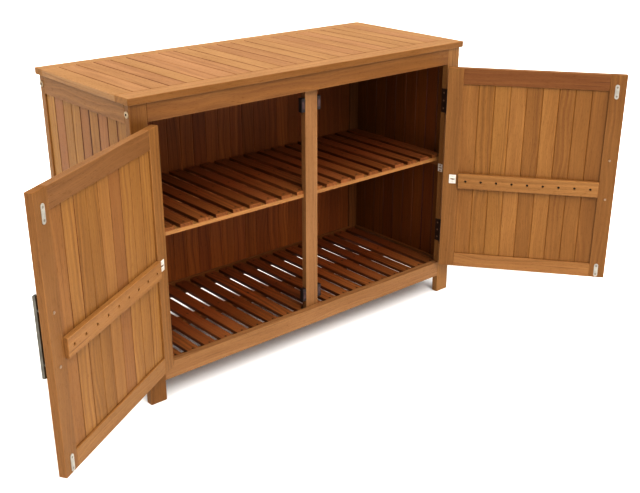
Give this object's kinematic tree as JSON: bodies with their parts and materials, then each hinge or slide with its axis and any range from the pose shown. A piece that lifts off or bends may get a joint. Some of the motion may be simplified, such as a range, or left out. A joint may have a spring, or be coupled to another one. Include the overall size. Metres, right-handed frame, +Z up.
{
  "type": "garden storage cabinet",
  "caption": "Low wooden garden cabinet with a slatted worktop, boarded sides, a middle shelf and a pair of boarded doors that swing open on side hinges, each with a bar handle.",
  "frame": {"origin": "on the floor under the middle of the four legs' footprint", "axes": "+Z up, -Y out of the front where the doors are, +X to the right seen from the front, along the width"},
  "size_m": [1.8757, 0.9314, 0.85],
  "materials": {
    "worktop_wood": "oiled, fine sanded, light warm brown",
    "frame_wood": "oiled, warm orange brown",
    "board_wood": "oiled, orange brown with pinkish boards among them",
    "door_wood": "oiled, warm orange brown",
    "stainless_steel": "brushed along the length",
    "zinc_steel": "bright zinc plating",
    "magnet_steel": "dull grey pole face",
    "black_steel": "black coated",
    "black_plastic": "matt black"
  },
  "bodies": {
    "cabinet": {"leg_front_left": "frame_wood", "leg_front_right": "frame_wood", "leg_rear_left": "frame_wood", "leg_rear_right": "frame_wood", "front_apron": "frame_wood", "front_bottom_rail": "frame_wood", "back_top_rail": "frame_wood", "back_bottom_rail": "frame_wood", "side_top_rail_left": "frame_wood", "side_top_rail_right": "frame_wood", "side_bottom_rail_left": "frame_wood", "side_bottom_rail_right": "frame_wood", "side_boards_left": "board_wood", "side_boards_right": "board_wood", "back_boards": "board_wood", "centre_post": "frame_wood", "worktop_front_board": "worktop_wood", "worktop_back_board": "worktop_wood", "worktop_left_board": "worktop_wood", "worktop_right_board": "worktop_wood", "worktop_slats": "worktop_wood", "worktop_bearers": "frame_wood", "bottom_slats": "board_wood", "bottom_bearers": "frame_wood", "shelf_slats": "board_wood", "shelf_bearers": "frame_wood", "shelf_cleats": "frame_wood", "slat_screws": "zinc_steel", "catch_housings": "black_plastic", "catch_magnets": "magnet_steel", "frame_bolts": "zinc_steel", "leg_hinge_leaves": "black_steel", "hinge_pins": "zinc_steel", "leg_screws": "zinc_steel", "leg_stay_plates": "zinc_steel"},
    "left_door": {"left_door_hinge_stile": "door_wood", "left_door_free_stile": "door_wood", "left_door_top_rail": "door_wood", "left_door_bottom_rail": "door_wood", "left_door_boards": "board_wood", "left_door_batten": "door_wood", "left_door_screws": "zinc_steel", "left_door_handle": "stainless_steel", "left_door_handle_screws": "stainless_steel", "left_door_strike_plates": "stainless_steel", "left_door_stay_plate": "zinc_steel", "left_door_hinge_leaves": "black_steel"},
    "right_door": {"right_door_hinge_stile": "door_wood", "right_door_free_stile": "door_wood", "right_door_top_rail": "door_wood", "right_door_bottom_rail": "door_wood", "right_door_boards": "board_wood", "right_door_batten": "door_wood", "right_door_screws": "zinc_steel", "right_door_handle": "stainless_steel", "right_door_handle_screws": "stainless_steel", "right_door_strike_plates": "stainless_steel", "right_door_stay_plate": "zinc_steel", "right_door_hinge_leaves": "black_steel"}
  },
  "joints": [
    {"name": "left_door_hinge", "type": "hinge", "parent": "cabinet", "child": "left_door", "pos_m": [-0.543, -0.2396, 0.446], "axis": [0, 0, 1], "range_deg": [-31.4, 148.6]},
    {"name": "right_door_hinge", "type": "hinge", "parent": "cabinet", "child": "right_door", "pos_m": [0.543, -0.2396, 0.446], "axis": [0, 0, 1], "range_deg": [-127.1, 52.9]}
  ]
}
